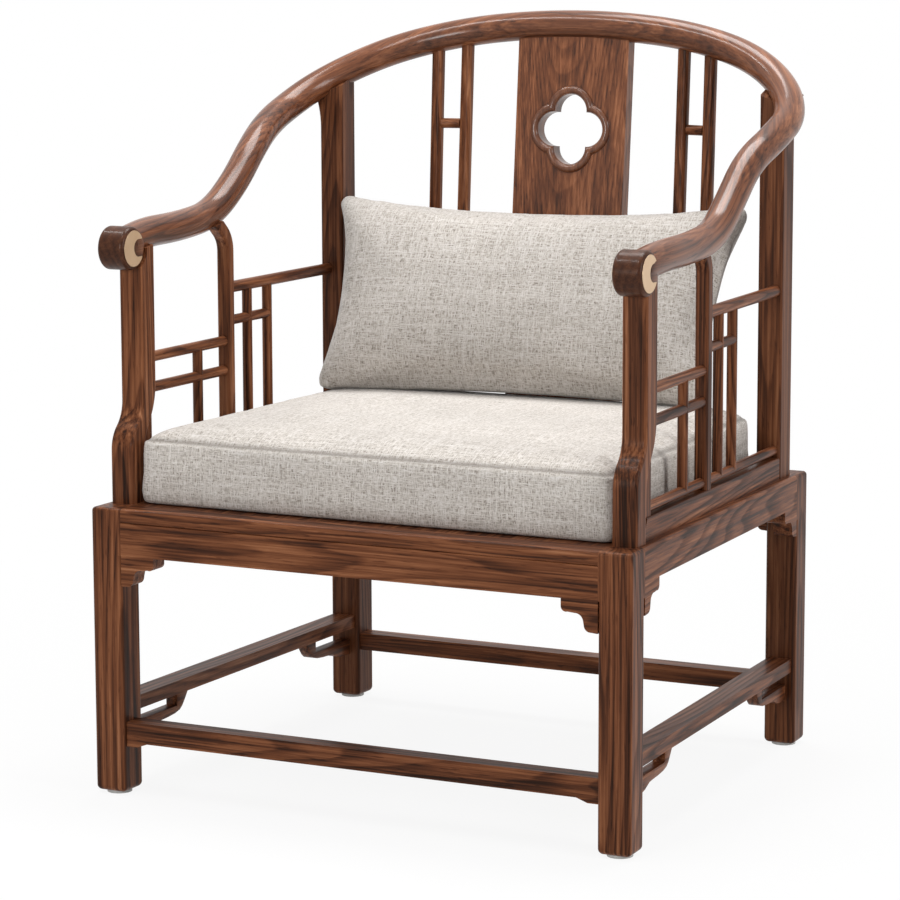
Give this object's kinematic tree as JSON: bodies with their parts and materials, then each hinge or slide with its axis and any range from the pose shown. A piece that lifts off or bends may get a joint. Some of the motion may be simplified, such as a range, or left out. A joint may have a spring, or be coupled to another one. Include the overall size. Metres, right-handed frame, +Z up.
{
  "type": "horseshoe back armchair",
  "caption": "Wooden armchair with a round horseshoe top rail, lattice sides, a splat with a quatrefoil window, and loose seat and back cushions.",
  "frame": {"origin": "on the floor under the middle of the chair's bounding box", "axes": "+Z up, +Y from the front of the chair to its back, +X to the right of someone facing its front"},
  "size_m": [0.7278, 0.6499, 0.9215],
  "materials": {
    "walnut_upright": "satin",
    "walnut_side": "satin",
    "walnut_rail": "satin",
    "walnut_across": "satin",
    "walnut_splat": "satin",
    "walnut_plain": "satin",
    "glide": "matte",
    "brass": "satin",
    "linen_seat": "matte",
    "linen_pillow": "matte"
  },
  "bodies": {
    "frame": {"brass_crescents": "brass", "floor_rail_left": "walnut_side", "floor_rail_right": "walnut_side", "foot_glides": "glide", "front_brackets": "walnut_across", "front_leg_left": "walnut_upright", "front_leg_right": "walnut_upright", "front_post_left": "walnut_upright", "front_post_right": "walnut_upright", "front_rail": "walnut_across", "front_stretcher": "walnut_across", "inner_rod_left": "walnut_upright", "inner_rod_right": "walnut_upright", "lattice_link_left": "walnut_side", "lattice_link_right": "walnut_side", "lattice_low_bar_left": "walnut_side", "lattice_low_bar_right": "walnut_side", "lattice_rear_bar_left": "walnut_side", "lattice_rear_bar_right": "walnut_side", "lattice_second_bar_left": "walnut_side", "lattice_second_bar_right": "walnut_side", "lattice_top_bar_left": "walnut_side", "lattice_top_bar_right": "walnut_side", "lattice_upright_1_left": "walnut_upright", "lattice_upright_1_right": "walnut_upright", "lattice_upright_2_left": "walnut_upright", "lattice_upright_2_right": "walnut_upright", "lattice_upright_3_left": "walnut_upright", "lattice_upright_3_right": "walnut_upright", "mid_post_left": "walnut_upright", "mid_post_right": "walnut_upright", "outer_rod_left": "walnut_upright", "outer_rod_right": "walnut_upright", "rail_arm_left": "walnut_rail", "rail_arm_right": "walnut_rail", "rail_crest": "walnut_rail", "rail_shoulder_left": "walnut_rail", "rail_shoulder_right": "walnut_rail", "rear_brackets": "walnut_across", "rear_leg_left": "walnut_upright", "rear_leg_right": "walnut_upright", "rear_post_left": "walnut_upright", "rear_post_right": "walnut_upright", "rear_rail": "walnut_across", "rear_stretcher": "walnut_across", "rod_links": "walnut_across", "scroll_brackets_left": "walnut_side", "scroll_brackets_right": "walnut_side", "seat_battens": "walnut_plain", "seat_panel": "walnut_plain", "side_brackets_left": "walnut_side", "side_brackets_right": "walnut_side", "side_rail_left": "walnut_side", "side_rail_right": "walnut_side", "side_stretcher_left": "walnut_side", "side_stretcher_right": "walnut_side", "splat": "walnut_splat", "window_moulding": "walnut_across"},
    "seat_cushion_body": {"seat_cushion": "linen_seat"},
    "back_pillow_body": {"back_pillow": "linen_pillow"}
  },
  "joints": [
    {"name": "seat_cushion_lift", "type": "slide", "parent": "frame", "child": "seat_cushion_body", "axis": [0, -0.97, 0.243], "range_m": [0, 0.56]},
    {"name": "back_pillow_lift", "type": "slide", "parent": "seat_cushion_body", "child": "back_pillow_body", "axis": [0, -0.3499, 0.9368], "range_m": [0, 0.3]}
  ]
}
